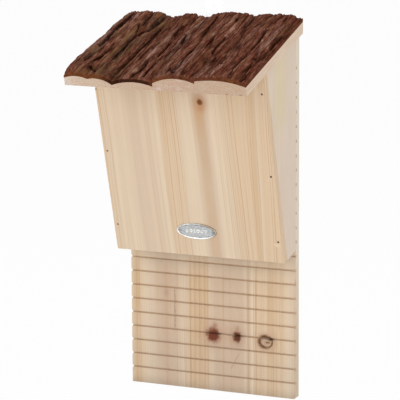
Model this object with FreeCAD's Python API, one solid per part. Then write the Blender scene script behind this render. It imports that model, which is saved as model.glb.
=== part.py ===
import FreeCAD, Part
import math
import os

# A bat box that hangs on a wall, in millimetres.
# X runs to the viewer's right, Y towards the wall and Z up.
# The origin is the centre of the hanging hole, on the wall plane y = 0.

Vec = FreeCAD.Vector

# Back board, with level saw grooves over its whole front face
back_thickness = 9.0
board_width = 186.0
board_height = 381.5
kerf_width = 1.6
kerf_depth = 2.5
kerf_pitch = 15.0
first_kerf_height = 17.0
kerf_top_margin = 20.0

# One angle for the lean of the front panel and the fall of the roof, in degrees
lean = 15.5

# Front panel, whose foot stands off the back board by the entrance slit
front_thickness = 9.0
entrance_depth = 24.0
panel_foot_height = 152.0

# Side panels, between the front panel and the back board
side_thickness = 9.0
side_overlength = 2.0

# Roof: slabs with a waney upper face, side by side, bark on top.
# The last slab is ripped to fill the width that the others leave.
roof_length = 156.0
roof_side_overhang = 4.0
slab_widths = [51.5, 44.0, 45.0]

# Thickness across each slab: share of its width, then thickness at the front end
# and at the wall. Every second point is a crown or the middle of an arc.
slab_profiles = [
    [(0.0, 8.0, 5.5), (0.21, 10.3, 8.8), (0.49, 8.0, 9.3), (0.60, 8.9, 9.6), (1.0, 3.1, 5.0)],
    [(0.0, 3.0, 5.5), (0.44, 7.2, 9.4), (1.0, 3.8, 6.5)],
    [(0.0, 7.5, 9.8), (0.39, 13.1, 12.8), (1.0, 9.5, 11.5)],
    [(0.0, 12.0, 10.8), (0.29, 14.0, 13.0), (1.0, 8.8, 11.3)],
]

# Bark: long plates with cracks between them. A crack is told by its depth, 1 for down to
# the bark's floor, and its places as shares of the slab's width, read at even steps from
# the wall to the front end. Plates are told by their thickness, from left to right, read
# in the same way: one value for a plate of even thickness.
bark_floor = 1.9
bark_crack_half_width = 1.9
bark_crown = 0.3
bark_edge_share = 0.75
bark_front_thickness = 2.9
bark_front_taper = 7.0
bark_cracks = [
    [
        (1.0, [0.19, 0.18, 0.19, 0.22, 0.21, 0.22]),
        (0.5, [0.34, 0.35, 0.34, 0.35, 0.30, 0.32]),
        (0.9, [0.56, 0.58, 0.48, 0.48, 0.39, 0.45]),
        (0.9, [0.85, 0.82, 0.69, 0.69, 0.71, 0.72]),
    ],
    [
        (0.8, [0.26, 0.27, 0.32, 0.26, 0.18, 0.12]),
        (1.0, [0.63, 0.58, 0.57, 0.61, 0.50, 0.43]),
        (0.8, [0.80, 0.77, 0.83, 0.78, 0.70, 0.71]),
    ],
    [
        (0.4, [0.06, 0.09, 0.15, 0.19, 0.20, 0.21]),
        (1.0, [0.16, 0.26, 0.36, 0.41, 0.45, 0.48]),
        (0.8, [0.76, 0.70, 0.63, 0.66, 0.69, 0.70]),
        (0.8, [0.90, 0.91, 0.89, 0.88, 0.92, 0.92]),
    ],
    [
        (0.9, [0.09, 0.12, 0.18, 0.22, 0.27, 0.29]),
        (0.4, [0.40, 0.45, 0.43, 0.44, 0.46, 0.46]),
        (1.0, [0.59, 0.61, 0.61, 0.63, 0.60, 0.64]),
        (0.9, [0.87, 0.90, 0.91, 0.87, 0.82, 0.87]),
    ],
]
bark_plates = [
    [[5.4, 8.0, 7.1, 7.8, 8.3, 6.6], [4.5], [5.3], [4.8], [4.0]],
    [[4.1], [5.2], [3.5], [4.1]],
    [[4.4], [4.9], [4.7], [4.9], [4.0]],
    [[3.8], [4.6], [4.5], [4.6], [3.2]],
]

# Brads and nails. Up each side of the front panel one brad stands off its foot, one off
# its head and one near the middle of the two, shifted up or down a little.
brad_length = 30.0
brad_shank_radius = 0.7
brad_head_radius = 1.1
brad_head_height = 0.8
brad_sink = 0.4
brad_point_length = 2.0
front_brad_foot_margin_left = 28.7
front_brad_foot_margin_right = 23.6
front_brad_head_margin = 22.9
front_brad_shift_left = 5.0
front_brad_shift_right = -8.3
front_brad_inset = 4.0
back_brad_count = 3
back_brad_end_margin = 28.0
roof_nail_length = 32.0
roof_nail_shank_radius = 0.9
roof_nail_head_radius = 2.0
roof_nail_head_height = 0.6
roof_nail_share = 0.25

# Hanging plate and its screws
hole_above_board = 24.0
hanging_hole_radius = 3.0
hanger_width = 20.0
hanger_thickness = 1.5
hanger_rise_over_hole = 6.5
hanger_overlap = 33.0
hanger_corner_radius = 4.0
screw_first_drop = 9.5
screw_spacing = 15.0
screw_count = 2
screw_length = 8.0
screw_shank_radius = 1.5
screw_head_radius = 3.0
screw_head_height = 1.7
screw_head_sink = 0.1
screw_slot_width = 0.9
screw_slot_length = 3.6
screw_slot_depth = 0.8
screw_point_length = 2.0

# Oval badge with a raised rim, held by two pins
badge_length = 44.0
badge_height = 18.0
badge_thickness = 0.6
badge_rim_width = 1.6
badge_rim_height = 0.8
badge_centre_height = 28.5
pin_spacing = 35.0
pin_length = 7.0
pin_shank_radius = 0.5
pin_head_radius = 1.1
pin_head_height = 0.4
pin_point_length = 1.0

# How far every cutting body reaches past the face that it cuts
overcut = 1.0

# Planes that the pieces share
sin_lean = math.sin(math.radians(lean))
cos_lean = math.cos(math.radians(lean))
tan_lean = sin_lean / cos_lean
back_rear = -hanger_thickness
back_front = back_rear - back_thickness
board_top = -hole_above_board
board_bottom = board_top - board_height
roof_width = board_width + 2 * roof_side_overhang

# The roof, the front panel and the side panels are drawn in a slanted frame.
# Its origin is the rear top edge of the back board, its second axis climbs the
# roof towards the wall, and its third axis stands square on the roof.
slanted = FreeCAD.Placement(Vec(0, back_rear, board_top), FreeCAD.Rotation(Vec(1, 0, 0), lean))


def to_slanted(y, z):
    """Turn a place in the upright frame into the slanted frame's last two coordinates."""
    return (
        (y - back_rear) * cos_lean + (z - board_top) * sin_lean,
        (z - board_top) * cos_lean - (y - back_rear) * sin_lean,
    )


foot_y = back_front - entrance_depth - front_thickness * cos_lean
foot_z = board_bottom + panel_foot_height
panel_outer, panel_foot = to_slanted(foot_y, foot_z)
panel_inner = panel_outer + front_thickness
side_foot = panel_foot - side_overlength


def back_board_reach(n):
    """Give the slanted frame's second coordinate of the grooved face at the height n."""
    return (n * sin_lean - back_thickness) / cos_lean


def prism(points, width):
    """Extrude a closed outline in the YZ plane along X, centred on x = 0."""
    corners = [Vec(-width / 2, y, z) for y, z in points]
    face = Part.Face(Part.makePolygon(corners + corners[:1]))
    return face.extrude(Vec(width, 0, 0))


def placed(shape, placement):
    """Give a copy of the shape, moved by the placement."""
    copy = shape.copy()
    copy.Placement = placement.multiply(copy.Placement)
    return copy


def turned(profile):
    """Revolve a half outline of (radius, height) points about the Z axis."""
    corners = [Vec(r, 0, z) for r, z in profile]
    face = Part.Face(Part.makePolygon(corners + corners[:1]))
    return face.revolve(Vec(0, 0, 0), Vec(0, 0, 1), 360)


def pointed_fastener(length, shank, head, head_height, point):
    """A round headed nail: its head stands on z = 0 and its point hangs down."""
    return turned([
        (0, head_height),
        (head, head_height),
        (head, 0),
        (shank, 0),
        (shank, point - length),
        (0, -length),
    ])


def make_back_board():
    outline = [
        (back_rear, board_bottom),
        (back_rear, board_top),
        (back_front, board_top - back_thickness * tan_lean),
        (back_front, board_bottom),
    ]
    board = prism(outline, board_width)
    front_height = board_height - back_thickness * tan_lean
    kerf_count = int((front_height - first_kerf_height - kerf_top_margin) / kerf_pitch) + 1
    kerfs = []
    for i in range(kerf_count):
        middle = board_bottom + first_kerf_height + i * kerf_pitch
        kerfs.append(Part.makeBox(
            board_width + 2 * overcut, kerf_depth + overcut, kerf_width,
            Vec(-board_width / 2 - overcut, back_front - overcut, middle - kerf_width / 2),
        ))
    return board.cut(kerfs)


def make_front_panel():
    panel = Part.makeBox(
        board_width, front_thickness, -panel_foot,
        Vec(-board_width / 2, panel_outer, panel_foot),
    )
    return placed(panel, slanted)


def make_side_panel(side):
    """A side panel; side is -1 for the left and 1 for the right."""
    outline = [
        (panel_inner, side_foot),
        (panel_inner, 0),
        (back_board_reach(0), 0),
        (back_board_reach(side_foot), side_foot),
    ]
    panel = prism(outline, side_thickness)
    panel.translate(Vec(side * (board_width - side_thickness) / 2, 0, 0))
    return placed(panel, slanted)


class Slab:
    """One roof slab: where it lies across the roof and how thick it is."""

    def __init__(self, index):
        self.index = index
        widths = slab_widths + [roof_width - sum(slab_widths)]
        self.width = widths[index]
        self.left = sum(widths[:index]) - roof_width / 2
        self.profile = slab_profiles[index]

    def top_edges(self, v):
        """The arcs across the top of the wood at v, which is 0 at the wall, from left to right."""
        towards_wall = 1 + v / roof_length
        points = []
        for share, front, rear in self.profile:
            thickness = front + (rear - front) * towards_wall
            points.append(Vec(self.left + self.width * share, v, thickness))
        starts = range(0, len(points) - 1, 2)
        return [Part.Arc(points[i], points[i + 1], points[i + 2]).toShape() for i in starts]

    def top_height(self, x, v):
        """Height of the wood's top at x from the slab's left edge."""
        upright = Part.makeLine(Vec(self.left + x, v, 0), Vec(self.left + x, v, 2 * self.tallest()))
        heights = []
        for edge in self.top_edges(v):
            gap, pairs, _ = edge.distToShape(upright)
            heights.append((gap, pairs[0][0].z))
        return min(heights)[1]

    def tallest(self):
        return max(max(front, rear) for share, front, rear in self.profile)


def slab_section(slab, v):
    left = Vec(slab.left, v, 0)
    right = Vec(slab.left + slab.width, v, 0)
    arcs = slab.top_edges(v)
    first = arcs[0].Vertexes[0].Point
    last = arcs[-1].Vertexes[-1].Point
    rest = [(left, first), (last, right), (right, left)]
    return Part.Wire(arcs + [Part.makeLine(a, b) for a, b in rest])


def roof_reach(slab):
    """How far a blank runs past the top of the back board, before its rear end is cut."""
    thickest = max(max(values) for values in bark_plates[slab.index])
    return (slab.tallest() + thickest + bark_crown) * tan_lean + overcut


def make_slab_blank(slab):
    return Part.makeLoft([slab_section(slab, roof_reach(slab)), slab_section(slab, -roof_length)], True, True)


def bark_crest(slab, v):
    """The top of the bark across a slab at v: a shoulder, a crown and a shoulder on each
    plate, and the floor of each crack between two plates."""
    from_wall = min(max(-v / roof_length, 0), 1)
    full = min((roof_length + v) / bark_front_taper, 1)
    borders = [0] + [slab.width * at_share(places, from_wall) for depth, places in bark_cracks[slab.index]]
    borders.append(slab.width)
    plates = [at_share(values, from_wall) for values in bark_plates[slab.index]]
    plates = [bark_front_thickness + (plate - bark_front_thickness) * full for plate in plates]
    depths = [depth * full for depth, places in bark_cracks[slab.index]]
    points = [(0, plates[0] * bark_edge_share)]
    for i, plate in enumerate(plates):
        left, right = borders[i], borders[i + 1]
        shoulder = min(bark_crack_half_width, (right - left) / 4)
        crown = plate + bark_crown * full
        points += [(left + shoulder, plate), ((left + right) / 2, crown), (right - shoulder, plate)]
        if i < len(depths):
            lower = min(plate, plates[i + 1])
            points.append((right, lower - (lower - bark_floor) * depths[i]))
    points.append((slab.width, plates[-1] * bark_edge_share))
    return [Vec(slab.left + x, v, slab.top_height(x, v) + thickness) for x, thickness in points]


def at_share(values, share):
    """Read a list of evenly spaced values at a share of its length."""
    if len(values) == 1:
        return values[0]
    place = share * (len(values) - 1)
    start = min(int(place), len(values) - 2)
    return values[start] + (values[start + 1] - values[start]) * (place - start)


def facet(*corners):
    return Part.Face(Part.makePolygon(list(corners) + [corners[0]]))


def make_bark_blank(slab):
    """A block over a slab whose top is faceted from one crest line to the next."""
    steps = len(bark_cracks[slab.index][0][1]) - 1
    stations = [roof_reach(slab)] + [-roof_length * i / steps for i in range(1, steps)]
    stations += [bark_front_taper - roof_length, -roof_length]
    crests = [bark_crest(slab, v) for v in stations]
    faces = []
    for near, far in zip(crests, crests[1:]):
        for i in range(len(near) - 1):
            faces.append(facet(near[i], near[i + 1], far[i]))
            faces.append(facet(near[i + 1], far[i + 1], far[i]))
    left_top = [crest[0] for crest in crests]
    right_top = [crest[-1] for crest in crests]
    corners = [Vec(top.x, top.y, 0) for top in (left_top[0], right_top[0], right_top[-1], left_top[-1])]
    faces.append(facet(*corners))
    faces.append(facet(*left_top, corners[3], corners[0]))
    faces.append(facet(*right_top, corners[2], corners[1]))
    faces.append(facet(*crests[0], corners[1], corners[0]))
    faces.append(facet(*crests[-1], corners[2], corners[3]))
    return Part.makeSolid(Part.makeShell(faces))


def cut_plumb(blank):
    """Set a roof blank in place and cut its rear end plumb, in line with the back board."""
    blank = placed(blank, slanted)
    box = blank.BoundBox
    behind = Part.makeBox(
        box.XLength + 2 * overcut, box.YMax - back_rear + overcut, box.ZLength + 2 * overcut,
        Vec(box.XMin - overcut, back_rear, box.ZMin - overcut),
    )
    return blank.cut(behind)


def brad():
    return pointed_fastener(
        brad_length, brad_shank_radius, brad_head_radius, brad_head_height, brad_point_length)


def make_front_brads():
    """Brads driven square through the front panel into the side panels."""
    brads = []
    sides = (
        (-1, front_brad_foot_margin_left, front_brad_shift_left),
        (1, front_brad_foot_margin_right, front_brad_shift_right),
    )
    for side, foot_margin, shift in sides:
        low = panel_foot + foot_margin
        high = -front_brad_head_margin
        for n in (low, (low + high) / 2 + shift, high):
            x = side * (board_width / 2 - front_brad_inset)
            seat = panel_outer + brad_sink + brad_head_height
            spot = FreeCAD.Placement(Vec(x, seat, n), FreeCAD.Rotation(Vec(1, 0, 0), 90))
            brads.append(placed(brad(), slanted.multiply(spot)))
    return brads


def make_back_brads():
    """Brads driven through the back board into the rear edges of the side panels."""
    low = board_bottom + panel_foot_height + back_brad_end_margin
    high = board_top - back_brad_end_margin
    brads = []
    for side in (-1, 1):
        for i in range(back_brad_count):
            x = side * (board_width - side_thickness) / 2
            z = low + (high - low) * i / max(1, back_brad_count - 1)
            seat = back_rear - brad_sink - brad_head_height
            spot = FreeCAD.Placement(Vec(x, seat, z), FreeCAD.Rotation(Vec(1, 0, 0), -90))
            brads.append(placed(brad(), spot))
    return brads


def make_roof_nails(slabs):
    """Nails down through the slabs: two into the front panel and two into the back board
    from each slab, and one into each side panel. Their heads lie under the bark."""
    nail = pointed_fastener(
        roof_nail_length, roof_nail_shank_radius, roof_nail_head_radius,
        roof_nail_head_height, brad_point_length)
    over_panel = panel_outer + front_thickness / 2
    over_side = (over_panel + back_board_reach(0)) / 2
    over_back = -back_thickness / 2 / cos_lean
    nails = []
    for slab in slabs:
        for share in (roof_nail_share, 1 - roof_nail_share):
            x = slab.width * share
            seat = slab.top_height(x, over_panel)
            spot = FreeCAD.Placement(Vec(slab.left + x, over_panel, seat), FreeCAD.Rotation())
            nails.append(placed(nail, slanted.multiply(spot)))
            seat = slab.top_height(x, over_back)
            y = back_rear - back_thickness / 2
            z = board_top + (y - back_rear) * tan_lean + seat / cos_lean
            nails.append(placed(nail, FreeCAD.Placement(Vec(slab.left + x, y, z), FreeCAD.Rotation())))
    for side, slab in ((-1, slabs[0]), (1, slabs[-1])):
        x = side * (board_width - side_thickness) / 2
        seat = slab.top_height(x - slab.left, over_side)
        spot = FreeCAD.Placement(Vec(x, over_side, seat), FreeCAD.Rotation())
        nails.append(placed(nail, slanted.multiply(spot)))
    return nails


def sink_holes(brads):
    """Short bores over the sunk heads of the brads."""
    bore = Part.makeCylinder(brad_head_radius, brad_sink + overcut, Vec(0, 0, brad_head_height))
    return [placed(bore, one.Placement) for one in brads]


def at_screws(shape):
    """Copies of a shape at the screws, its z = 0 plane at their heads, just under the wall plane."""
    copies = []
    for i in range(screw_count):
        z = board_top - screw_first_drop - i * screw_spacing
        spot = FreeCAD.Placement(Vec(0, -screw_head_sink, z), FreeCAD.Rotation(Vec(1, 0, 0), -90))
        copies.append(placed(shape, spot))
    return copies


def make_hanger_screws():
    screw = turned([
        (0, 0),
        (screw_head_radius, 0),
        (screw_shank_radius, -screw_head_height),
        (screw_shank_radius, screw_point_length - screw_length),
        (0, -screw_length),
    ])
    for angle in (0, 90):
        slot = Part.makeBox(
            screw_slot_length, screw_slot_width, screw_slot_depth + overcut,
            Vec(-screw_slot_length / 2, -screw_slot_width / 2, -screw_slot_depth),
        )
        slot.rotate(Vec(0, 0, 0), Vec(0, 0, 1), angle)
        screw = screw.cut(slot)
    return at_screws(screw)


def make_hanger_plate():
    low = board_top - hanger_overlap
    plate = Part.makeBox(
        hanger_width, hanger_thickness, hanger_rise_over_hole - low,
        Vec(-hanger_width / 2, back_rear, low),
    )
    upright_corners = [e for e in plate.Edges if abs(e.tangentAt(e.FirstParameter).y) > 0.9]
    plate = plate.makeFillet(hanger_corner_radius, upright_corners)
    hole = Part.makeCylinder(
        hanging_hole_radius, hanger_thickness + 2 * overcut,
        Vec(0, back_rear - overcut, 0), Vec(0, 1, 0),
    )
    countersink = turned([
        (0, overcut),
        (screw_head_radius, overcut),
        (screw_head_radius, 0),
        (screw_shank_radius, -screw_head_height),
        (screw_shank_radius, -screw_length),
        (0, -screw_length),
    ])
    return plate.cut([hole] + at_screws(countersink))


def oval(length, height, thickness):
    """An upright elliptical disc on z = 0."""
    curve = Part.Ellipse(Vec(0, 0, 0), length / 2, height / 2)
    return Part.Face(Part.Wire(curve.toShape())).extrude(Vec(0, 0, thickness))


def on_front_panel(shape):
    """Set a shape with its z = 0 plane on the outer face of the front panel at the badge."""
    spot = FreeCAD.Placement(
        Vec(0, panel_outer, panel_foot + badge_centre_height),
        FreeCAD.Rotation(Vec(1, 0, 0), 90),
    )
    return placed(shape, slanted.multiply(spot))


def make_badge_pins():
    pins = []
    for side in (-1, 1):
        pin = pointed_fastener(
            pin_length, pin_shank_radius, pin_head_radius, pin_head_height, pin_point_length)
        pin.translate(Vec(side * pin_spacing / 2, 0, badge_thickness))
        pins.append(on_front_panel(pin))
    return pins


def make_badge_plate():
    plate = oval(badge_length, badge_height, badge_thickness + badge_rim_height)
    dish = oval(badge_length - 2 * badge_rim_width, badge_height - 2 * badge_rim_width, badge_rim_height)
    dish.translate(Vec(0, 0, badge_thickness))
    return on_front_panel(plate.cut(dish))


def write(name, shape):
    shape.exportStep("parts/" + name + ".step")
    solids = shape.Solids
    print(name, "solids", len(solids), "valid", shape.isValid(), "volume", round(shape.Volume, 1))


slabs = [Slab(i) for i in range(len(slab_profiles))]
front_brads = make_front_brads()
back_brads = make_back_brads()
roof_nails = make_roof_nails(slabs)
hanger_screws = make_hanger_screws()
badge_pins = make_badge_pins()

pieces = {
    "back_board": make_back_board().cut(back_brads + sink_holes(back_brads) + roof_nails + hanger_screws),
    "front_panel": make_front_panel().cut(front_brads + sink_holes(front_brads) + roof_nails + badge_pins),
    "side_panel_left": make_side_panel(-1).cut(front_brads + back_brads + roof_nails),
    "side_panel_right": make_side_panel(1).cut(front_brads + back_brads + roof_nails),
    "hanger_plate": make_hanger_plate(),
    "badge_plate": make_badge_plate().cut(badge_pins),
}
for slab in slabs:
    number = str(slab.index + 1)
    wood = make_slab_blank(slab)
    pieces["roof_slab_" + number] = cut_plumb(wood).cut(roof_nails)
    pieces["roof_bark_" + number] = cut_plumb(make_bark_blank(slab).cut(wood)).cut(roof_nails)
groups = {
    "front_brads": front_brads,
    "back_brads": back_brads,
    "roof_nails": roof_nails,
    "hanger_screws": hanger_screws,
    "badge_pins": badge_pins,
}

os.makedirs("parts", exist_ok=True)
for name, shape in pieces.items():
    write(name, shape)
for name, shapes in groups.items():
    write(name, Part.makeCompound(shapes))
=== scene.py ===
# %% [markdown]
# # A bat box for a garden wall
# The construction model already has every board, nail and plate in its place. This lesson
# gives it its looks: sawn spruce, a roof of slabs with the bark still on, a grooved back
# board for the bats to climb, brads, a tin badge and a galvanised hanging plate. First
# comes the frame that all the pieces share, in metres, with X to the viewer's right,
# Y towards the wall and Z up. The origin is the centre of the hanging hole.

# %% Load the frame
import math

import bmesh
import bpy
import numpy as np
from mathutils import Matrix, Vector
from mathutils.bvhtree import BVHTree


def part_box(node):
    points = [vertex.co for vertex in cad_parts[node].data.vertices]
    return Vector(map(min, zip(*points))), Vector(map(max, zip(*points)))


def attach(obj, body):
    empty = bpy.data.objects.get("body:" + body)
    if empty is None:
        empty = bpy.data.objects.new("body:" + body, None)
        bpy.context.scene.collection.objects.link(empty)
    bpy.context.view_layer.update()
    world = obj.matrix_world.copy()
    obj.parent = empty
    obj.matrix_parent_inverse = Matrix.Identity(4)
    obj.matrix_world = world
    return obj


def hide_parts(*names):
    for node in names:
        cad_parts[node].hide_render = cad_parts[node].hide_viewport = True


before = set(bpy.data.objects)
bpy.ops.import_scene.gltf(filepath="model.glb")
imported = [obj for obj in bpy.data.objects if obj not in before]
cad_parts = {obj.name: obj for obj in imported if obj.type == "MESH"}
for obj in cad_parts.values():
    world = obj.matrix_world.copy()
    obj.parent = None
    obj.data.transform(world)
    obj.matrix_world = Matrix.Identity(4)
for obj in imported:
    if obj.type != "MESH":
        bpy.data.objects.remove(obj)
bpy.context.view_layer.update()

# %% [markdown]
# ## The planes that the pieces share
# The back board stands plumb against the hanging plate. The front panel and the roof lean
# by one angle, so they are easiest to describe in a slanted frame: x across the box,
# v up the roof towards the wall and n square to the roof. Its origin is the rear top edge
# of the back board. Sizes are written in millimetres, as on a workshop drawing.

# %% Name the shared planes
mm = 0.001
lean = math.radians(15.5)
board_low, board_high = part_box("back_board")
board_rear = board_high.y / mm
board_front = board_low.y / mm
board_top = board_high.z / mm
board_bottom = board_low.z / mm
board_width = (board_high.x - board_low.x) / mm
roof_length = 156.0
panel_low, panel_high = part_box("front_panel")
print("back board", round(board_width), "x", round(board_top - board_bottom), "mm")
print("front panel from", round(panel_high.z / mm), "down to", round(panel_low.z / mm), "mm")

# %% [markdown]
# ## The camera
# The box is seen from the right and a little above, from far off, so that parallel edges
# stay nearly parallel. A long lens far away gives the same picture as the photograph.
# The camera is turned to its three directions, and then moved sideways and up a little
# to frame the box, which keeps the lens shift at zero.

# %% Stand the camera where the photograph was taken from
view_turn = math.radians(23.379)
view_rise = math.radians(11.575)
view_roll = math.radians(-0.367)
view_distance = 2.535236
pan_right = -0.015983
pan_up = 0.002445
aim = Vector((0, -0.0015, -0.2055))
focal_pixels = 2439.13
frame_pixels = 400
sensor = 36.0

towards_eye = Vector((
    math.sin(view_turn) * math.cos(view_rise),
    -math.cos(view_turn) * math.cos(view_rise),
    math.sin(view_rise),
))
level_right = Vector((math.cos(view_turn), math.sin(view_turn), 0))
level_up = towards_eye.cross(level_right)
eye_right = level_right * math.cos(view_roll) + level_up * math.sin(view_roll)
eye_up = towards_eye.cross(eye_right)


def add_object(name, data):
    """Put an object with this mesh, lamp or camera in the scene."""
    item = bpy.data.objects.new(name, data)
    bpy.context.scene.collection.objects.link(item)
    return item


camera = add_object("camera", bpy.data.cameras.new("camera"))
camera.data.sensor_width = sensor
camera.data.lens = focal_pixels / frame_pixels * sensor
camera.data.clip_end = 50
place = aim + towards_eye * view_distance + eye_right * pan_right + eye_up * pan_up
turn = Matrix((eye_right, eye_up, towards_eye)).transposed()
camera.matrix_world = Matrix.Translation(place) @ turn.to_4x4()
bpy.context.scene.camera = camera
print("lens", round(camera.data.lens, 1), "mm at", round(view_distance, 2), "m")

# %% [markdown]
# ## Sums made of nodes
# Every finish below is a small sum worked out by shader nodes, and the same kind of sum
# shapes the grooves and the bark in Geometry Nodes. Linking dozens of Math nodes by hand
# hides what they say, so a Wire stands for the output of a node and can be added and
# multiplied like a number. Each operator simply makes a Math node or two. A wire knows
# its tree, so the helpers that take wires need not be told where to put their nodes.

# %% A wire that can be used in sums


class Wire:
    """The output of a node, used like a number in sums."""

    def __init__(self, tree, socket):
        self.tree = tree
        self.socket = socket

    def math(self, operation, *others):
        node = self.tree.nodes.new("ShaderNodeMath")
        node.operation = operation
        for value, target in zip((self,) + others, node.inputs):
            plug(target, value)
        return Wire(self.tree, node.outputs[0])

    def __add__(self, other):
        return self.math("ADD", other)

    def __sub__(self, other):
        return self.math("SUBTRACT", other)

    def __rsub__(self, other):
        return (self * -1) + other

    def __mul__(self, other):
        return self.math("MULTIPLY", other)

    def __truediv__(self, other):
        return self.math("DIVIDE", other)

    __radd__ = __add__
    __rmul__ = __mul__

    def at_least(self, low):
        return self.math("MAXIMUM", low)

    def at_most(self, high):
        return self.math("MINIMUM", high)

    def smooth(self, start, end, first=0.0, last=1.0):
        """Go softly from first to last while this value goes from start to end."""
        node = self.tree.nodes.new("ShaderNodeMapRange")
        node.interpolation_type = "SMOOTHSTEP"
        for value, target in zip((self, start, end, first, last), node.inputs):
            plug(target, value)
        return Wire(self.tree, node.outputs[0])


def plug(target, value):
    """Link a wire to a socket, or set the socket to a plain value."""
    if isinstance(value, Wire):
        value.tree.links.new(value.socket, target)
    else:
        target.default_value = value


print("a wire can be added, subtracted, multiplied, divided and smoothed")

# %% Make a node and give its outputs


def node_with(tree, kind, values, **settings):
    """Add a node, set its options and fill its named inputs."""
    node = tree.nodes.new(kind)
    for option, choice in settings.items():
        setattr(node, option, choice)
    for label, value in values.items():
        plug(node.inputs[label], value)
    return node


def wire_from(tree, kind, values, output=0, **settings):
    """Add a node and give one of its outputs."""
    return Wire(tree, node_with(tree, kind, values, **settings).outputs[output])


def point_of(x, y, z):
    """The place with these three numbers, of which one at least is a wire."""
    tree = next(value.tree for value in (x, y, z) if isinstance(value, Wire))
    return wire_from(tree, "ShaderNodeCombineXYZ", {"X": x, "Y": y, "Z": z})


def parts_of(vector):
    """The three numbers of a vector, as wires."""
    node = node_with(vector.tree, "ShaderNodeSeparateXYZ", {"Vector": vector})
    return [Wire(vector.tree, part) for part in node.outputs]


print("a node is made in one line, with its options and its inputs")

# %% Noise, bells and spots


def noise(x, y, z, detail=2.0, roughness=0.5):
    """A soft random value between 0 and 1 at this place. Its x is always a wire."""
    return wire_from(x.tree, "ShaderNodeTexNoise", {
        "Vector": point_of(x, y, z), "Scale": 1.0, "Detail": detail, "Roughness": roughness,
    })


def bell(value, spread):
    """A soft hump: 1 where the value is 0, near 0 at twice the spread."""
    return ((value / spread).math("POWER", 2) * -1).math("EXPONENT")


def hypot(across, along):
    """How far away a place is that lies this far across and along."""
    return (across * across + along * along).math("SQRT")


def spot(x, y, middle, spread):
    """A soft round spot: a hump in both directions around its middle."""
    return bell(x - middle[0], spread[0]) * bell(y - middle[1], spread[1])


print("a bell is", round(math.exp(-1), 2), "at its spread and", round(math.exp(-4), 2), "at twice that")

# %% [markdown]
# ## Colours and plain materials
# Colours are written as they look on a screen, from 0 to 255, and turned into the linear
# light that a renderer adds up. A material here is a Principled shader whose even values
# are set on its own sockets, with nodes only for what varies over the surface.

# %% Colours and plain finishes


def tint(red, green, blue):
    """Turn a screen colour into linear light."""
    shares = [c / 255 for c in (red, green, blue)]
    return tuple(((s + 0.055) / 1.055) ** 2.4 if s > 0.04045 else s / 12.92 for s in shares) + (1.0,)


def new_finish(name, roughness=0.6, shine=0.3, metal=0.0):
    """A material with its Principled shader and its node tree."""
    material = bpy.data.materials.new(name)
    material.use_nodes = True
    shader = material.node_tree.nodes["Principled BSDF"]
    shader.inputs["Roughness"].default_value = roughness
    shader.inputs["Specular IOR Level"].default_value = shine
    shader.inputs["Metallic"].default_value = metal
    return material, shader, material.node_tree


print("the grey 128 of a screen is", round(tint(128, 128, 128)[0], 3), "in linear light")

# %% Lay tones over one another


def blend(share, first, second, mode="MIX"):
    """Lay the second colour over the first one by a share."""
    node = share.tree.nodes.new("ShaderNodeMix")
    node.data_type = "RGBA"
    node.blend_type = mode
    plug(node.inputs[0], share)
    plug(node.inputs[6], first)
    plug(node.inputs[7], second)
    return Wire(share.tree, node.outputs[2])


def ramp(factor, stops):
    """A colour band: stops are (place, colour) pairs from 0 to 1. A new place can change
    the order of the stops, so the places are set twice and the colours only then."""
    node = factor.tree.nodes.new("ShaderNodeValToRGB")
    band = node.color_ramp
    band.interpolation = "EASE"
    while len(band.elements) < len(stops):
        band.elements.new(0.5)
    for element, (place, colour) in zip(band.elements, stops):
        element.position = place
    for element, (place, colour) in zip(band.elements, stops):
        element.position = place
        element.color = colour
    plug(node.inputs[0], factor)
    return Wire(factor.tree, node.outputs[0])


def tone_at(place, tones):
    """The tone at a place in millimetres, read between (place, tone) pairs."""
    low, high = tones[0][0], tones[-1][0]
    stops = [((at - low) / (high - low), tone) for at, tone in tones]
    return ramp((place - low) / (high - low), stops)


def layered(colour, layers):
    """Lay tones over a colour, one after another: layers are (share, tone) pairs."""
    for share, tone in layers:
        colour = blend(share, colour, tone)
    return colour


print("tones can be blended, set in a band and laid in layers")

# %% Read what a mesh knows, and raise the grain


def carried(tree, label):
    """A value that the mesh carries, for a shader."""
    return wire_from(tree, "ShaderNodeAttribute", {}, "Fac", attribute_name=label)


def object_place(tree):
    """The place of a point in the frame, in metres."""
    return wire_from(tree, "ShaderNodeTexCoord", {}, "Object")


def raise_grain(shader, height, depth_mm, strength=0.5):
    """Turn a height between 0 and 1 into a bump of this depth."""
    plug(shader.inputs["Normal"], wire_from(height.tree, "ShaderNodeBump", {
        "Strength": strength, "Distance": depth_mm * mm, "Height": height,
    }))


print("a finish can follow the place of a point and the values it carries")

# %% [markdown]
# ## Sawn spruce
# The boards are spruce, glued up from narrow strips, so cream, rosy and honey-coloured
# bands run side by side. Along each band go the darker lines of summer wood, a few
# millimetres apart, which wander slowly and bend round the knots. A picture of wood would
# repeat and stop at the edges. Worked out in space instead, the same rings also cut the
# end grain where a board ends. Coordinates are the slanted frame's millimetres, so the
# grain follows each board.

# %% Name the tones of the wood
cream = tint(226, 206, 180)
pale = tint(222, 201, 175)
rose = tint(216, 194, 170)
dusky = tint(206, 181, 156)
honey = tint(221, 195, 165)
amber = tint(213, 184, 150)
mauve = tint(203, 174, 150)
summer_wood = tint(188, 146, 104)
knot_brown = tint(120, 66, 40)
knot_dark = tint(60, 32, 22)
knot_rim = tint(72, 38, 16)


def board_place(tree, tilt):
    """The x, depth and height in millimetres of a point on a board that leans by tilt."""
    return parts_of(wire_from(tree, "ShaderNodeMapping", {
        "Vector": object_place(tree),
        "Location": (0, board_rear * mm, board_top * mm),
        "Rotation": (tilt, 0, 0),
        "Scale": (mm, mm, mm),
    }, vector_type="TEXTURE"))


print("cream in linear light:", [round(part, 3) for part in cream[:3]])

# %% Describe a knot


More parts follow.
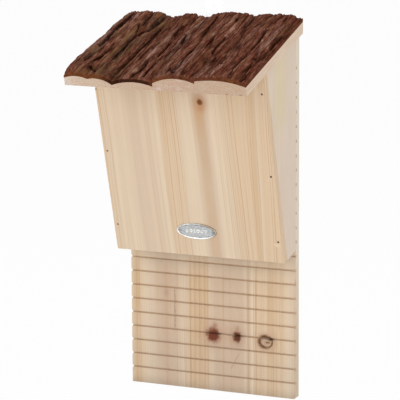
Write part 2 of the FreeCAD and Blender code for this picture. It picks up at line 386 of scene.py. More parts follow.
class Knot:
    """Where a branch grew: its place on the board, its half sizes and its two browns."""

    def __init__(self, x, n, half_width, half_height, core, halo, reach=2.2,
                 heart=knot_dark, wobble=0.7):
        self.x, self.n = x, n
        self.half_width, self.half_height = half_width, half_height
        self.core, self.halo, self.reach = core, halo, reach
        self.heart, self.wobble = heart, wobble

    def distance(self, x, n):
        """0 at the heart of the knot and 1 at its rim, with an uneven outline."""
        across = (x - self.x) / self.half_width
        along = (n - self.n) / self.half_height
        uneven = noise(x / 3.1, n / 4.3, self.x) - 0.5
        return hypot(across, along) + uneven * self.wobble


print("a knot has a place, a size, two browns and an uneven rim")

# %% Make a spruce finish


def grey(value):
    return (value, value, value, 1.0)


ring_gap, broad_gap = 1.05, 3.6
fibre_width, fibre_length = 0.5, 16
swing_from, swing_full = 52, 76
swing_middle = -105


def spruce(name, tones, line_zones, tilt=0.0, knots=(), extra=None, along="n", swing=0.0):
    """Spruce with its bands of tone: tones are (x, colour) pairs across the board, and
    line_zones say in the same way how strong the lines of summer wood are. Swing is how
    far the grain near the right edge leans, in mm for each mm of height. Extra is a
    function that adds the marks of one board, and along says which way the grain runs."""
    material, shader, tree = new_finish(name, roughness=0.7, shine=0.08)
    x, depth, n = board_place(tree, tilt)
    if along == "v":
        depth, n = n, depth
    drift = (noise(x / 45, depth / 45, n / 170, detail=1) - 0.5) * 7
    bend = x.smooth(swing_from, swing_full) * (n - swing_middle) * -swing
    for knot in knots:
        near = bell(knot.distance(x, n), knot.reach)
        bend = near * (x - knot.x) * -0.55 + bend
    wavy = x + drift + bend
    across = x + drift * 0.35 + bend
    zone = parts_of(tone_at(across, [(place, grey(value)) for place, value in line_zones]))[0]

    slant = wavy + depth * 0.45
    late = noise(slant / ring_gap, 5.3, n / 420, detail=2, roughness=0.6).smooth(0.5, 0.7)
    broad = noise(slant / broad_gap, 9.1, n / 300, detail=1).smooth(0.48, 0.7)
    fibre = noise(wavy / fibre_width, depth / fibre_width, n / fibre_length, detail=3, roughness=0.6)
    cloud = noise(x / 22, depth / 22, n / 46, detail=2).smooth(0.35, 0.75)
    colour = layered(tone_at(across, tones), [
        (late * zone * 0.8, summer_wood), (broad * zone * 0.35, amber),
        (fibre.smooth(0.52, 0.8) * 0.22, amber), (fibre.smooth(0.48, 0.25) * 0.3, cream),
        (cloud * 0.3, rose),
    ])
    for knot in knots:
        far = knot.distance(x, n)
        heart = far.smooth(0.75, 0.1) * noise(x / 0.9, n / 1.2, 1.0).smooth(0.4, 0.7)
        colour = layered(colour, [
            (bell(far, knot.reach) * 0.75, knot.halo), (far.smooth(1.15, 0.55), knot.core),
            (heart * 0.5, knot.heart),
        ])
    if extra:
        colour = extra(colour, x, depth, n)
    plug(shader.inputs["Base Color"], colour)
    raise_grain(shader, fibre + late * zone, 0.12)
    return material


print("summer wood about every", ring_gap, "mm, broad bands every", broad_gap, "mm")

# %% [markdown]
# ### The boards, one by one
# The front panel has a small knot near its top, with a brown streak of resin below it, a
# painted shadow at its top left corner under the roof, and chips where two of the brads
# went in. The back board has three knots in a row, the last one half loose with a black
# rim, a drying crack, a scratch and a smudge. These marks sit at measured places, so each
# board gets its own list of tones and knots, and a function for its marks.

# %% Front panel
front_tones = [
    (-93, honey), (-88, pale), (-82, cream), (-76, pale), (-70, cream), (-64, pale), (-58, rose),
    (-50, rose), (-45, pale), (-40, rose), (-35, pale), (-29, cream), (-26.5, pale), (-25.5, honey),
    (-18, honey), (-10, honey), (-6, pale), (0, cream), (8, cream), (12, rose), (16, dusky),
    (22, dusky), (27, rose), (31, cream), (36, cream), (44, pale), (52, honey), (64, honey),
    (74, amber), (77, pale), (80, honey), (93, honey),
]
front_lines = [
    (-93, 0.65), (-82, 0.6), (-70, 0.5), (-60, 0.3), (-48, 0.22), (-36, 0.45), (-29, 0.4), (-25, 0.8),
    (-9, 0.85), (-4, 0.5), (10, 0.3), (28, 0.22), (38, 0.8), (48, 0.75), (74, 0.75), (93, 0.7),
]
front_knot = Knot(20.9, -35.6, 3.4, 4.0, tint(130, 84, 50), tint(184, 130, 88), reach=1.9,
                  heart=tint(80, 34, 4), wobble=0.3)


def panel_marks(colour, x, depth, n):
    """A brown streak of resin from the knot to the foot, a painted shadow at the top left corner, and
    chips at two brads.
    """
    wander = (noise(n / 40, 2.0, 5.0) - 0.5) * 4
    beside = (x + wander - 18.5).math("ABSOLUTE").smooth(8.5, 2.0)
    below = n.smooth(-30, -44) * n.smooth(-90, -44, 0.2, 0.65)
    outside = front_knot.distance(x, n).smooth(0.6, 1.2)
    stain = spot(x, n, (21.4, -41.5), (4.4, 5.4)) * outside
    # Painted shadow: a dark spot at the panel's top left corner, just under the roof edge.
    painted_corner_shadow = spot(x, n, (-92.4, -28.2), (0.9, 0.9))
    chips = noise(x / 0.8, n / 0.8, 3.0).smooth(0.5, 0.58)
    struck = spot(x, n, (87, -190), (3.0, 1.8)) + spot(x, n, (86, -116), (3.0, 1.4)) * 0.3
    return layered(colour, [
        (beside * below * outside, tint(204, 165, 122)), (stain * 0.45, tint(192, 130, 88)),
        (painted_corner_shadow * 0.8, knot_dark), (chips * struck.at_most(1.0), tint(252, 236, 204)),
    ])


front_wood = spruce("front_spruce", front_tones, tilt=lean, line_zones=front_lines,
                    knots=[front_knot], extra=panel_marks, swing=0.055)
print("front panel:", len(front_tones), "bands of tone")

# %% Tones, lines and knots of the back board
back_tones = [
    (-93, pale), (-89, amber), (-86.5, amber), (-82, honey), (-76, pale), (-69, rose), (-61, dusky),
    (-53, mauve), (-47, dusky), (-41, dusky), (-37, rose), (-33, pale), (-28, rose), (-24, amber),
    (-8, amber), (-2, rose), (5, dusky), (32, dusky), (37, rose), (40.5, dusky), (45, cream),
    (50, honey), (60, honey), (67.5, amber), (73, honey), (79, honey), (85, pale), (90, rose),
    (93, dusky),
]
board_height = board_top - board_bottom
big_knot = Knot(0.6, 60.2 - board_height, 8.6, 8.8, tint(120, 65, 47), tint(176, 128, 102),
                reach=1.4)
small_knot = Knot(27.4, 60.4 - board_height, 5.0, 6.4, tint(104, 62, 42), tint(170, 122, 100),
                  reach=1.5)
loose_knot = Knot(59.9, 58.0 - board_height, 7.0, 6.2, tint(204, 174, 146), tint(170, 122, 92),
                  reach=1.35)
back_lines = [
    (-93, 0.3), (-86, 0.7), (-78, 0.3), (-60, 0.3), (-48, 0.45), (-34, 0.5), (-27, 0.9), (-10, 0.9),
    (0, 0.3), (30, 0.25), (44, 0.5), (50, 0.6), (74, 0.6), (80, 0.3), (93, 0.3),
]
summer_lines = [
    (-87.3, 0.3), (-52.6, 0.2), (-25.3, 0.45), (-20.2, 0.4), (-15.0, 0.3), (-9.0, 0.45), (-5.5, 0.35),
    (12.0, 0.25), (39.8, 0.35), (48.8, 0.3), (62.5, 0.3), (71.9, 0.25), (78.0, 0.25),
]
knot_kerf = 61.6
kerf_wings = [(-5.4, 3.2), (5.6, 3.6), (30.0, 4.5), (64.5, 5.0)]
crack_x = -43.0
print("back board:", len(back_tones), "tones,", len(summer_lines), "lines and 3 knots")

# %% Marks around the knots of the back board


def loose_rim(colour, x, height):
    """The loose knot: a brown arc on its left, a black rim on its right, marks inside."""
    across, along = (x - 59.9) / 7.3, (height - 58.2) / 6.2
    ring = hypot(across, along) + noise(x / 4, height / 4, 2.0) * 0.3
    left_arc = bell(ring - 1.12, 0.3) * x.smooth(66, 58)
    rim = bell(ring - 1.15, 0.13) * x.smooth(60, 63) + spot(x, height, (60.5, 63.0), (4.0, 1.3))
    inner = spot(x, height, (62.4, 57.8), (2.6, 1.1)) + spot(x, height, (64.6, 60.6), (2.0, 0.9))
    return layered(colour, [
        (left_arc, tint(112, 74, 50)), ((rim + inner).at_most(1.0) * 0.85, knot_rim),
    ])


def knot_smears(colour, x, height, front_face):
    """Dark kerf walls beside two knots, and a flame of brown above each of them."""
    beside = 0.0
    for place, spread in kerf_wings:
        beside = bell(x - place, spread) + beside
    wings = beside.at_most(1.0) * bell(height - knot_kerf, 1.2) * front_face
    return layered(colour, [
        (wings * 0.65, knot_dark),
        (spot(x, height, (2.5, 70.0), (2.6, 3.6)) * 0.6, tint(150, 100, 76)),
        (spot(x, height, (28.0, 69.0), (2.2, 3.2)) * 0.45, tint(160, 112, 88)),
    ])


print("marks beside", len(kerf_wings), "places in the row of knots")

# %% Cracks, scratches and saw marks of the back board


def small_marks(colour, x, height, front_face):
    """A drying crack, a scratch and a smudge."""
    wander = (noise(height / 9, 7.0, 1.0) - 0.5) * 1.2
    crack = bell(x + wander - crack_x, 0.8) * height.smooth(60, 64) * height.smooth(108, 103)
    crack = crack * noise(height / 5, 1.0, 2.0).smooth(0.25, 0.6) * front_face
    scratch = bell(x - height * 0.53 - 7.2, 0.7) * height.smooth(24, 27) * height.smooth(45, 41)
    smudge = spot(x, height, (-52.5, 101), (3.2, 4.5))
    return layered(colour, [
        (crack * 0.5, knot_brown), (scratch * front_face * 0.7, tint(184, 152, 128)),
        (smudge * 0.55, tint(172, 144, 126)),
    ])


def across_the_grain(colour, x, height, n):
    """Ripples left by the saw, and paler walls of the kerfs. Both spare the knots."""
    ripple = ((height + noise(x / 30, height / 12, 3.0) * 5) * (math.tau / 2.4)).math("SINE")
    ripple = ripple.smooth(0.2, 1.0) * noise(x / 12, height / 5, 6.0).smooth(0.4, 0.65)
    for knot in (big_knot, small_knot, loose_knot):
        ripple = ripple * (1 - spot(x, n, (knot.x, knot.n), (knot.half_width * 1.4, 12)))
    in_knots = bell(x - big_knot.x, 9) + bell(x - small_knot.x, 6) + bell(x - 64, 5)
    clear_of_knots = 1 - in_knots.at_most(1.0) * bell(height - knot_kerf, 4)
    kerf = carried(x.tree, "kerf") * clear_of_knots
    return layered(colour, [(ripple * 0.3, amber), (kerf * 0.5, tint(204, 176, 146))])


print("a drying crack runs down at", crack_x, "mm")

# %% Finish of the back board
# Tones of the side faces of the back board, darker towards its foot as painted shade.
edge_tones_with_painted_shade = [
    (0, tint(209, 190, 165)), (60, tint(217, 199, 176)), (120, tint(223, 206, 186)),
    (160, tint(226, 215, 200)),
]


def board_marks(colour, x, depth, n):
    """All that sets the back board apart: its marks, its lines, its painted shade and light, and its
    edges.
    """
    height = n + board_height
    front_face = depth.smooth(-3, -6)
    colour = loose_rim(colour, x, height)
    colour = knot_smears(colour, x, height, front_face)
    colour = small_marks(colour, x, height, front_face)
    colour = across_the_grain(colour, x, height, n)
    sway = (noise(height / 60, 3.0, 8.0) - 0.5) * 1.6
    for place, strength in summer_lines:
        colour = blend(bell(x + sway - place, 0.9) * strength, colour, summer_wood)
    # Painted shade: the board gets darker towards its foot.
    colour = blend(height.smooth(110, 10), colour, tint(246, 247, 249), "MULTIPLY")
    # Painted light: the board gets lighter from a little below the foot of the front panel upwards,
    # which lifts the shade under the panel.
    colour = blend(height.smooth(112, 148) * 0.45, colour, cream)
    # The side faces get their tones, with painted shade towards the foot.
    on_edge = x.math("ABSOLUTE").smooth(92.6, 92.95)
    return blend(on_edge * 0.85, colour, tone_at(height, edge_tones_with_painted_shade))


back_wood = spruce("back_spruce", back_tones, line_zones=back_lines,
                   knots=[big_knot, small_knot, loose_knot], extra=board_marks)
print("back board:", back_wood.name)

# %% [markdown]
# ### Side panels and roof slabs
# The side panels are greyer and quieter. The slabs are split from the outside of the
# trunk, so their front ends show the trunk's rings as flat arcs. Rings around a heart
# that lies below the roof give the arcs on the ends and straight lines along the slab
# from one and the same sum.

# %% Side panels
side_tones = [(-97, tint(226, 208, 190)), (97, tint(226, 208, 190))]


def side_bands(colour, x, depth, n):
    """Greyish bands that run down the side, across its depth, and a buff one at the top."""
    band = noise(depth / 16, 3.0, n / 300, detail=1).smooth(0.35, 0.65)
    buff = bell(depth + 54, 17) * n.smooth(-112, -62)
    lines = ((depth + noise(depth / 9, 1.0, n / 90) * 9) * (math.tau / 4.1)).math("SINE")
    return layered(colour, [
        (band * 0.6, tint(220, 206, 194)), (buff * 0.8, tint(222, 206, 172)),
        (lines.smooth(0.5, 1.0) * 0.16, summer_wood),
    ])


side_wood = spruce("side_spruce", side_tones, line_zones=((-97, 0.1), (97, 0.1)), extra=side_bands)
print("side panels:", side_wood.name)

# %% Roof slabs


def slab_rings(heart_x, heart_n, blush):
    """The rings of one slab around the heart of its trunk. Blush is how rosy its end is."""

    def rings(colour, x, n, v):
        radius = hypot(x - heart_x, n - heart_n) + noise(x / 9, n / 9, v / 90) * 2.6
        line = (radius * (math.tau / 2.5)).math("SINE").smooth(0.1, 1.0)
        torn = noise(x / 1.9, n / 1.2, v / 40, detail=3)
        patch = noise(x / 8, n / 3.6, heart_x, detail=2)
        spots = spot(x, n, (5.2, 2.2), (2.4, 1.6)) + spot(x, n, (25, 2.4), (2.0, 1.2)) * 0.6
        nicks = spot(x, n, (76.5, 0.7), (1.3, 0.6)) + spot(x, n, (91, 0.4), (1.8, 0.5))
        colour = layered(colour, [
            (line * 0.28, tint(192, 152, 120)),
            (torn.smooth(0.5, 0.7) * 0.5, tint(202, 162, 138)),
            (torn.smooth(0.45, 0.28) * 0.6, tint(244, 230, 220)),
            (patch.smooth(0.48, 0.68) * blush, tint(224, 182, 168)),
            (patch.smooth(0.46, 0.3) * blush, tint(236, 214, 204)),
            (spots * 0.7, tint(246, 228, 228)), (nicks * 0.7, knot_brown),
        ])
        end_grain = (v + roof_length).smooth(0.6, 0.2)
        return blend(end_grain, colour, tint(228, 222, 218), "MULTIPLY")

    return rings


slab_tones = [
    (-97, tint(248, 238, 226)), (-78, tint(237, 219, 199)), (-40, tint(229, 207, 183)),
    (10, tint(221, 197, 174)), (90, tint(219, 195, 169)), (97, tint(222, 201, 178)),
]
slab_hearts = [(-74, -34, 0.15), (-24, -30, 0.15), (18, -22, 0.5), (62, -36, 0.25)]
slab_woods = []
for number, heart in enumerate(slab_hearts, 1):
    slab_woods.append(spruce("slab_spruce_" + str(number), slab_tones, tilt=lean,
                             line_zones=((-97, 0.05), (97, 0.05)),
                             extra=slab_rings(*heart), along="v"))
print("slabs:", len(slab_woods), "hearts of rings")

# %% [markdown]
# ## Metal
# The hanging plate and the nails of the roof are galvanised: pale zinc whose crystals show
# as faint patches. The brads are bare steel that has gone dull, the screws and the pins of
# the badge are brighter steel, and the badge is pressed tin. Each is a metal shader whose
# brightness changes a little from patch to patch, because an even metal looks like plastic.

# %% Metal finishes


def metal(name, base, patch, patch_size, roughness, left=None):
    """A metal with patches of a second brightness, and if need be its own tone on the left."""
    material, shader, tree = new_finish(name, roughness=roughness, shine=0.5, metal=1.0)
    spangle = wire_from(tree, "ShaderNodeTexVoronoi", {
        "Vector": object_place(tree), "Scale": 1 / (patch_size * mm),
    }, "Color")
    share = parts_of(spangle)[0]
    colour = blend(share * 0.6, base, patch)
    if left:
        x = parts_of(object_place(tree))[0] / mm
        colour = blend(x.smooth(-60, -75), colour, left)
    plug(shader.inputs["Base Color"], colour)
    plug(shader.inputs["Roughness"], share.smooth(0, 1, roughness * 0.85, roughness * 1.25))
    return material


def tin():
    """Blotchy tin. The mesh carries a painted highlight and shade, and where the rim shows a painted
    warm reflection of the wood.
    """
    material, shader, tree = new_finish("badge_tin", roughness=0.3, shine=0.5, metal=1.0)
    x, y, z = (part / mm for part in parts_of(object_place(tree)))
    blotch = noise(x / 2.4, y, z / 1.4, detail=3).smooth(0.34, 0.66) - 0.5
    # The carried tone is painted highlight and shade; the blotches are the tin's own.
    tone = carried(tree, "tone") + blotch * 0.3
    colour = ramp(tone, [
        (0.1, tint(118, 121, 122)), (0.5, tint(184, 187, 186)), (1.0, tint(240, 238, 235)),
    ])
    # Painted reflection: the right end of the rim takes the warm brown of the wood.
    colour = blend(carried(tree, "warmth") * 0.8, colour, tint(172, 152, 130))
    plug(shader.inputs["Base Color"], colour)
    raise_grain(shader, blotch, 0.15)
    return material


zinc = metal("zinc", tint(244, 245, 247), tint(232, 235, 238), 3.5, 0.36)
dull_steel = metal("dull_steel", tint(84, 68, 54), tint(58, 44, 34), 0.8, 0.5, left=tint(150, 118, 92))
screw_steel = metal("screw_steel", tint(198, 200, 202), tint(176, 178, 182), 1.2, 0.35)
pin_steel = metal("pin_steel", tint(168, 170, 172), tint(136, 138, 140), 1.0, 0.4)
badge_tin = tin()
for finish in (zinc, dull_steel, screw_steel, pin_steel, badge_tin):
    print("metal:", finish.name)

# %% Give the nodes of the construction model their finishes
finishes = {
    "front_panel": front_wood,
    "side_panel_left": side_wood,
    "side_panel_right": side_wood,
    "back_board": back_wood,
    "hanger_plate": zinc,
    "hanger_screws": screw_steel,
    "front_brads": dull_steel,
    "back_brads": dull_steel,
    "roof_nails": zinc,
    "badge_plate": badge_tin,
    "badge_pins": pin_steel,
}
for number, wood in enumerate(slab_woods, 1):
    finishes["roof_slab_" + str(number)] = wood
for node, finish in finishes.items():
    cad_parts[node].data.materials.clear()
    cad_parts[node].data.materials.append(finish)
print(len(finishes), "nodes dressed")

# %% [markdown]
# ## Recipes in Geometry Nodes
# Grooves, nail holes and bark all follow a rule, so Geometry Nodes make them. A recipe is a
# tree with named sizes, in millimetres. It is run once: its sizes are set by the sockets'
# identifiers, the evaluated object is turned into a plain mesh, and the modifier goes.
# Every tree ends in Realize Instances and Set Material.

# %% A recipe and how to run it


class Recipe:
    """A Geometry Nodes tree with named sizes, run once to make a plain mesh. Inputs that
    are not plain numbers come as others, each with its kind."""

    def __init__(self, name, sizes, others):
        self.tree = bpy.data.node_groups.new(name, "GeometryNodeTree")
        face = self.tree.interface
        kinds = {"Geometry": "Geometry", **dict.fromkeys(sizes, "Float"), **others,
                 "Finish": "Material"}
        for label, kind in kinds.items():
            face.new_socket(label, in_out="INPUT", socket_type="NodeSocket" + kind)
        face.new_socket("Geometry", in_out="OUTPUT", socket_type="NodeSocketGeometry")
        self.entry = self.tree.nodes.new("NodeGroupInput")

    def size(self, label):
        return Wire(self.tree, self.entry.outputs[label])

    def stored(self, label, kind="FLOAT"):
        """Read a value that the mesh carries at each of its points."""
        return self.step("GeometryNodeInputNamedAttribute", {"Name": label}, data_type=kind)

    def store(self, geometry, label, value):
        """Let the mesh carry a value at each of its points."""
        return self.step("GeometryNodeStoreNamedAttribute", {
            "Geometry": geometry, "Name": label, "Value": value,
        })

    def step(self, kind, values, output=0, **settings):
        return wire_from(self.tree, kind, values, output, **settings)

    def shape_of(self, label):
        """The mesh of the object that is given under this label."""
        return self.step("GeometryNodeObjectInfo", {"Object": self.size(label)}, "Geometry")

    def end(self, geometry):
        real = self.step("GeometryNodeRealizeInstances", {"Geometry": geometry})
        done = self.step("GeometryNodeSetMaterial", {"Geometry": real, "Material": self.size("Finish")})
        plug(self.tree.nodes.new("NodeGroupOutput").inputs[0], done)

    def run(self, name, start=None, **sizes):
        """Give the piece that the recipe makes with these sizes."""
        source = add_object(name + "_source", start or bpy.data.meshes.new(name))
        modifier = source.modifiers.new("recipe", "NODES")
        modifier.node_group = self.tree
        for item in self.tree.interface.items_tree:
            label = item.name.lower().replace(" ", "_")
            if item.in_out == "INPUT" and label in sizes:
                modifier[item.identifier] = sizes[label]
        made = source.evaluated_get(bpy.context.evaluated_depsgraph_get())
        mesh = bpy.data.meshes.new_from_object(made)
        mesh.name = name
        bpy.data.objects.remove(source)
        print(name, len(mesh.vertices), "points,", len(mesh.polygons), "faces")
        return add_object(name, mesh)


def fit(piece, slot, *nodes):
    """Let a piece ride on the box in place of these nodes."""
    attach(piece, "root")
    if nodes:
        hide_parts(*nodes)


# %% [markdown]
# ## The back board and its climbing grooves
# Bats climb the back board, so a thin saw has cut a shallow kerf every 15 mm from top to
# bottom. This is the main rule of the box, and one recipe makes the whole board: it draws
# the board's outline as seen from the side, with eight points for each kerf, and sweeps it
# across the width. The saw leaves worn lips and frays the kerf where it leaves the wood,
# so the points near a kerf are moved by a little noise, and more so close to the ends.
# The brads, screws and nails then cut their own holes.

# %% Write the recipe for a board with kerfs
kerf_points = 8
board_recipe = Recipe("Board with kerfs", [
    "Width", "Front", "Rear", "Bottom", "Top front", "Top rear", "First kerf", "Pitch",
    "Kerf width", "Kerf depth", "Lip", "Wear", "Notch", "Rounding", "Seed",
], {"Kerfs": "Int", "Fasteners": "Object"})
tree, size, step = board_recipe.tree, board_recipe.size, board_recipe.step
front, rear, bottom = (size(label) for label in ("Front", "Rear", "Bottom"))
half_kerf = size("Kerf width") / 2
lip, kerf_depth = size("Lip"), size("Kerf depth")
first, pitch = size("First kerf"), size("Pitch")


def chosen(number, values):
    """The value that stands at this number in a list."""
    node = tree.nodes.new("GeometryNodeIndexSwitch")
    node.data_type = "FLOAT"
    while len(node.index_switch_items) < len(values):
        node.index_switch_items.new()
    plug(node.inputs["Index"], number)
    for place, value in enumerate(values):
        plug(node.inputs[str(place)], value)
    return Wire(tree, node.outputs[0])


points_in_kerfs = size("Kerfs") * kerf_points
number = step("GeometryNodeInputIndex", {}) - 1
kerf = (number / kerf_points).math("FLOOR").at_least(0)
turn = (number - kerf * kerf_points).at_least(0).at_most(kerf_points - 1)
above = chosen(turn, [
    half_kerf * -1 - lip, half_kerf * -1 - lip * 0.3, half_kerf * -1, half_kerf * -1,
    half_kerf, half_kerf, half_kerf + lip * 0.3, half_kerf + lip,
])
inwards = chosen(turn, [0.0, lip * 0.3, lip, kerf_depth, kerf_depth, lip, lip * 0.3, 0.0])
is_start = number.math("LESS_THAN", -0.5)
kerf_height = bottom + first + kerf * pitch + above
kerf_height = kerf_height * (1 - is_start) + bottom * is_start
corner = (number - points_in_kerfs + 1).at_least(0)
outline_y = chosen(corner, [front + inwards * (1 - is_start), front, rear, rear])
outline_z = chosen(corner, [kerf_height, size("Top front"), size("Top rear"), bottom])
outline = step("GeometryNodeMeshLine", {"Count": points_in_kerfs + 4})
outline = step("GeometryNodeSetPosition", {
    "Geometry": outline, "Position": point_of(outline_y * -mm, outline_z * -mm, 0.0),
})
outline = step("GeometryNodeMeshToCurve", {"Mesh": outline})
outline = step("GeometryNodeSetSplineCyclic", {"Geometry": outline, "Cyclic": True})
half_width = size("Width") / 2
rail = step("GeometryNodeCurvePrimitiveLine", {
    "Start": point_of(half_width * -mm, 0.0, 0.0), "End": point_of(half_width * mm, 0.0, 0.0),
})
rail = step("GeometryNodeResampleCurve", {"Curve": rail, "Count": 125})
board = step("GeometryNodeCurveToMesh", {
    "Curve": rail, "Profile Curve": outline, "Fill Caps": True,
})
print("outline swept across the board:", len(tree.nodes), "nodes")

# %% Wear the kerfs, round the corner and cut the holes
here = step("GeometryNodeInputPosition", {})
swept_x, swept_y, swept_z = (part / mm for part in parts_of(here))
share = swept_x / half_width
spread_x = swept_x * (1.35 - share * share * 0.35)
nearest = ((swept_z - bottom - first) / pitch).math("ROUND").at_least(0)
nearest = nearest.at_most(size("Kerfs") - 1)
from_kerf = swept_z - bottom - first - nearest * pitch
beside = from_kerf.math("ABSOLUTE").math("LESS_THAN", half_kerf + lip * 1.2)
beside = beside * swept_y.math("LESS_THAN", rear - 1)
side = from_kerf.math("SIGN")
uneven = noise(spread_x / 4, swept_z * 1.7, size("Seed"), detail=3)
near_end = (half_width - spread_x.math("ABSOLUTE")).smooth(3.0, 0.0)
frayed = near_end * near_end * size("Notch") * uneven * 1.6
widened = (uneven - 0.45) * size("Wear") * 2 + frayed
worn_z = swept_z + side * beside * widened
from_corner = (spread_x - half_width + size("Rounding")).at_least(0)
round_off = size("Rounding")
lifted = round_off - (round_off * round_off - from_corner * from_corner).at_least(0).math("SQRT")
worn_z = worn_z + lifted * (swept_z - bottom).math("LESS_THAN", 0.5)
worn = point_of(spread_x * mm, swept_y * mm, worn_z * mm)
board = step("GeometryNodeSetPosition", {"Geometry": board, "Position": worn})
board = board_recipe.store(board, "kerf", beside * (swept_y - front).smooth(0.02, 0.2))
board = step("GeometryNodeFlipFaces", {"Mesh": board})
board = step("GeometryNodeTriangulate", {"Mesh": board})
fasteners = step("GeometryNodeMergeByDistance", {
    "Geometry": board_recipe.shape_of("Fasteners"), "Distance": 0.01 * mm,
})
drilled = step("GeometryNodeMeshBoolean", {"Mesh 1": board, "Mesh 2": fasteners}, "Mesh",
               operation="DIFFERENCE", solver="MANIFOLD")
board_recipe.end(drilled)
print("board recipe:", len(tree.nodes), "nodes")

# %% Cut the back board
kerf_count = 23
first_kerf = 17.0
kerf_pitch = 15.0
kerf_width = 1.6
kerf_depth_mm = 2.5
thickness = board_rear - board_front


def joined(name, *nodes):
    """A copy of several nodes in one mesh, to be used as a cutter."""
    shape = bmesh.new()
    for node in nodes:
        shape.from_mesh(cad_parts[node].data)
    mesh = bpy.data.meshes.new(name)
    shape.to_mesh(mesh)
    shape.free()
    return bpy.data.objects.new(name, mesh)


fasteners = joined("fastener_shapes", "back_brads", "hanger_screws", "roof_nails")
back_board = board_recipe.run(
    "grooved_board", width=board_width, front=board_front, rear=board_rear,
    bottom=board_bottom, top_front=board_top - thickness * math.tan(lean), top_rear=board_top,
    first_kerf=first_kerf, pitch=kerf_pitch, kerfs=kerf_count, kerf_width=kerf_width,
    kerf_depth=kerf_depth_mm, lip=0.35, wear=0.3, notch=0.9, rounding=2.6, seed=4.0,
    fasteners=fasteners, finish=back_wood,
)
fit(back_board, "back_board_wood", "back_board")
bpy.data.objects.remove(fasteners)

# %% [markdown]
# ## The bark
# The slabs keep the bark of the tree: long scaly plates, 8 to 15 mm wide, that taper down
# the slope, with dark cracks between them. It is what one sees first on this box, so it
# has to be real relief and not only colour. The sheet starts as a fine grid laid on the
# wood: rays dropped onto each slab tell how high the wood is, and the underside also
# clears the heads of the nails. A recipe then raises the plates on it.

# %% Drop rays onto a slab
bark_base = 2.4
grid_across = 0.55
grid_along = 0.85
nail_clearance = 0.1
ray_start, ray_inset = 60.0, 0.05
slanted = Matrix.Translation((0, board_rear, board_top)) @ Matrix.Rotation(lean, 4, "X")
unslant = slanted.inverted()


def under_rays(*nodes):
    """The faces of these nodes in the slanted frame, to be hit by rays from above."""
    corners, faces = [], []
    for node in nodes:
        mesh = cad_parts[node].data
        start = len(corners)
        corners += [unslant @ (vertex.co / mm) for vertex in mesh.vertices]
        faces += [[start + i for i in face.vertices] for face in mesh.polygons]
    return BVHTree.FromPolygons(corners, faces), corners


def heights_of(tree, xs, vs):
    """How high the faces reach at each crossing of xs and vs; a hole is bridged."""
    heights = []
    for v in vs:
        for x in xs:
            x_in = min(max(x, xs[0] + ray_inset), xs[-1] - ray_inset)
            v_in = min(max(v, -roof_length + ray_inset), -ray_inset)
            hit = tree.ray_cast(Vector((x_in, v_in, ray_start)), Vector((0, 0, -1)))[0]
            heights.append(hit.z if hit else heights[-1])
    return np.array(heights).reshape(len(vs), len(xs))


def to_upright(x, v, n):
    """Turn slanted millimetres into the frame's metres."""
    y = board_rear + v * math.cos(lean) - n * math.sin(lean)
    z = board_top + v * math.sin(lean) + n * math.cos(lean)
    return np.stack([x, y, z], -1).reshape(-1, 3) * mm


print("the grid has a point every", grid_across, "mm across and", grid_along, "mm along")

# %% Say where the bark is bleached and where it is dark
weathered = [
    (-88, -50, 2.0, 45, -0.35), (-84.5, -112, 2.2, 20, -0.4), (-62, -85, 2.4, 32, -0.4),
    (-54, -30, 2.0, 14, -0.5), (-66, -16, 1.8, 16, -0.5), (-74, -142, 7, 6, -0.8),
    (-75, -112, 2.0, 12, -0.5), (-60, -147, 4, 4, -0.6), (-66, -139, 10, 7, -0.5),
    (-78, -25, 6, 22, 0.5), (-76, -62, 6, 20, 0.25), (-79, -84, 4, 6, 0.8),
    (-80, -110, 3, 8, 0.7), (-92, -90, 3, 30, 0.3), (-93, -30, 3, 30, 0.3),
    (-40, -60, 4.5, 70, -0.3), (-31, -80, 2.0, 10, -0.8), (-34.5, -100, 2.4, 14, -0.9),
    (-39, -138, 2.4, 20, -0.8), (-30, -138, 5, 16, 0.7), (-17, -146, 6, 8, 0.8),
    (-26, -100, 4, 14, 0.5), (-13, -22, 2.5, 32, 0.5),
    (-8, -60, 2.0, 12, -0.9), (-14.5, -130, 1.8, 16, -0.8), (-27, -25, 6, 22, -0.3),
    (9, -22, 2.0, 22, -0.5), (12, -55, 2.5, 10, -0.5), (17.5, -105, 2.0, 40, -0.5),
    (6, -110, 5, 24, 0.3), (36.4, -50, 1.4, 40, 0.9), (28.5, -22, 1.4, 16, 0.7),
    (39.5, -38, 2.0, 16, 0.5), (48, -20, 3.5, 10, -0.6), (53, -85, 4.5, 26, -0.3),
    (42, -116, 9, 9, -0.8), (18, -146, 6, 6, -0.7), (61, -138, 2.0, 20, 0.5),
    (79.5, -70, 2.4, 45, 0.5), (92, -70, 1.6, 12, -0.3), (86.5, -105, 2, 2.5, -0.7),
    (87.5, -130, 1.6, 8, -0.3),
]


def weather_at(x, v):
    """How far the bark is bleached (towards 1) or dark (towards -1) at a place on the roof."""
    total = np.zeros_like(x)
    for spot_x, spot_v, half_width, half_length, amount in weathered:
        total += amount * np.exp(-((x - spot_x) / half_width) ** 2 - ((v - spot_v) / half_length) ** 2)
    return total


print("bleached or dark spots on the roof:", len(weathered))

# %% Lay a sheet over a slab


def carry(mesh, label, values):
    """Let a mesh carry a number, or three numbers, at each of its points."""
    kind, field = ("FLOAT_VECTOR", "vector") if values.ndim == 2 else ("FLOAT", "value")
    carrier = mesh.attributes.new(label, kind, "POINT")
    carrier.data.foreach_set(field, values.astype(np.float32).ravel())


